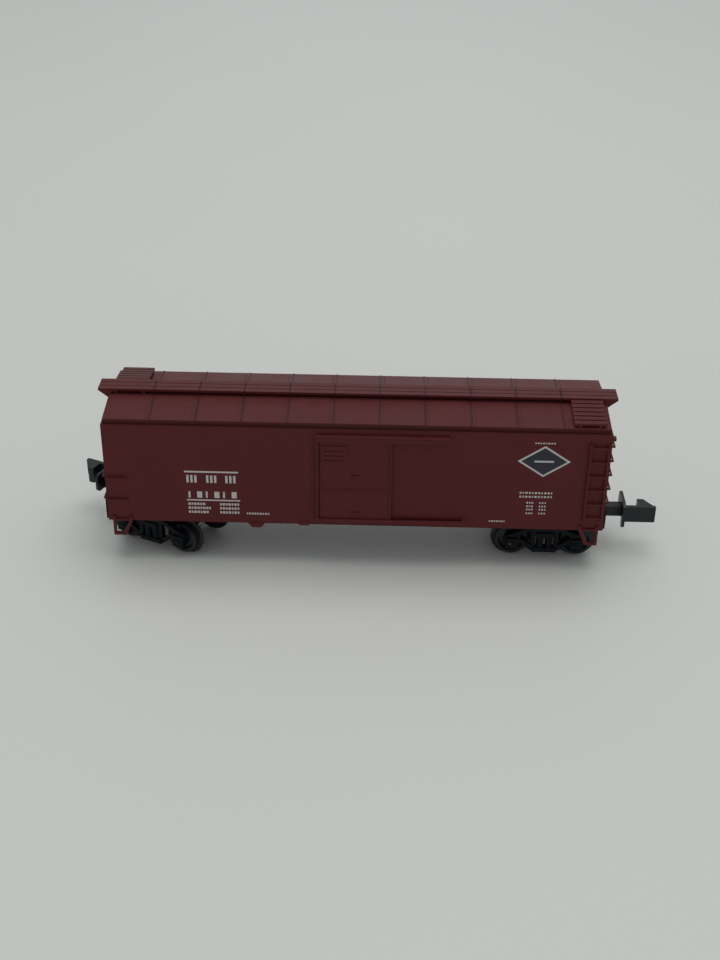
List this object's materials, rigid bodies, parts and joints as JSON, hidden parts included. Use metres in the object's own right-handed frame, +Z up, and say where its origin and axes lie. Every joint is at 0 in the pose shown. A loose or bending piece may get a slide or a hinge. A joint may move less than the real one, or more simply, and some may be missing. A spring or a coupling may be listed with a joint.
{
  "type": "model box car",
  "caption": "Small railway model box car with ribbed low-pitch roof, slatted roof walk, sliding side doors, ladders, swivelling four-wheel trucks and lifting hook couplers.",
  "frame": {"origin": "on the floor under the middle of the car, halfway between the truck pins and between the rails", "axes": "+X along the car to the right as seen from the near side, +Y away from the near side, +Z up"},
  "size_m": [0.095, 0.0192, 0.0274],
  "materials": {
    "oxide_plastic": "moulded oxide-red plastic, fine matt grain",
    "black_plastic": "moulded black plastic, satin",
    "coupler_plastic": "moulded black plastic, satin",
    "wheel_plastic": "moulded black plastic, polished treads",
    "turned_steel": "turned",
    "steel_plate": "cut plate, dull",
    "spring_wire": "drawn wire"
  },
  "bodies": {
    "car": {"body_shell": "oxide_plastic", "underframe": "black_plastic", "weight_plate": "steel_plate", "running_board": "oxide_plastic", "left_truck_pin": "black_plastic", "right_truck_pin": "black_plastic"},
    "near_door": {"door_near": "oxide_plastic"},
    "far_door": {"door_far": "oxide_plastic"},
    "left_truck": {"left_truck_frame": "black_plastic", "left_coupler_cover": "black_plastic", "left_coupler_spring": "spring_wire"},
    "left_hook": {"left_coupler": "coupler_plastic"},
    "left_outer_wheelset": {"left_outer_axle": "turned_steel", "left_outer_near_wheel": "wheel_plastic", "left_outer_far_wheel": "wheel_plastic"},
    "left_inner_wheelset": {"left_inner_axle": "turned_steel", "left_inner_near_wheel": "wheel_plastic", "left_inner_far_wheel": "wheel_plastic"},
    "right_truck": {"right_truck_frame": "black_plastic", "right_coupler_cover": "black_plastic", "right_coupler_spring": "spring_wire"},
    "right_hook": {"right_coupler": "coupler_plastic"},
    "right_outer_wheelset": {"right_outer_axle": "turned_steel", "right_outer_near_wheel": "wheel_plastic", "right_outer_far_wheel": "wheel_plastic"},
    "right_inner_wheelset": {"right_inner_axle": "turned_steel", "right_inner_near_wheel": "wheel_plastic", "right_inner_far_wheel": "wheel_plastic"}
  },
  "joints": [
    {"name": "near_door_slide", "type": "slide", "parent": "car", "child": "near_door", "axis": [1, 0, 0], "range_m": [0, 0.0109]},
    {"name": "far_door_slide", "type": "slide", "parent": "car", "child": "far_door", "axis": [-1, 0, 0], "range_m": [0, 0.0109]},
    {"name": "left_truck_swivel", "type": "hinge", "parent": "car", "child": "left_truck", "pos_m": [-0.0306, 0, 0.0065], "axis": [0, 0, 1], "range_deg": [-5, 55]},
    {"name": "left_coupler_lift", "type": "hinge", "parent": "left_truck", "child": "left_hook", "pos_m": [-0.03744, 0.00319, 0.00625], "axis": [0.4226, 0.9063, 0], "range_deg": [0, 12], "stiffness_Nm_per_rad": 0.0002, "springref_deg": -5.73},
    {"name": "left_outer_wheelset_spin", "type": "hinge", "parent": "left_truck", "child": "left_outer_wheelset", "pos_m": [-0.03536, 0.00222, 0.0033], "axis": [-0.4226, -0.9063, 0], "continuous": true},
    {"name": "left_inner_wheelset_spin", "type": "hinge", "parent": "left_truck", "child": "left_inner_wheelset", "pos_m": [-0.02584, -0.00222, 0.0033], "axis": [-0.4226, -0.9063, 0], "continuous": true},
    {"name": "right_truck_swivel", "type": "hinge", "parent": "car", "child": "right_truck", "pos_m": [0.0306, 0, 0.0065], "axis": [0, 0, 1], "range_deg": [-30, 30]},
    {"name": "right_coupler_lift", "type": "hinge", "parent": "right_truck", "child": "right_hook", "pos_m": [0.03815, 0, 0.00625], "axis": [0, -1, 0], "range_deg": [0, 12], "stiffness_Nm_per_rad": 0.0002, "springref_deg": -5.73},
    {"name": "right_outer_wheelset_spin", "type": "hinge", "parent": "right_truck", "child": "right_outer_wheelset", "pos_m": [0.03585, 0, 0.0033], "axis": [0, 1, 0], "continuous": true},
    {"name": "right_inner_wheelset_spin", "type": "hinge", "parent": "right_truck", "child": "right_inner_wheelset", "pos_m": [0.02535, 0, 0.0033], "axis": [0, 1, 0], "continuous": true}
  ]
}
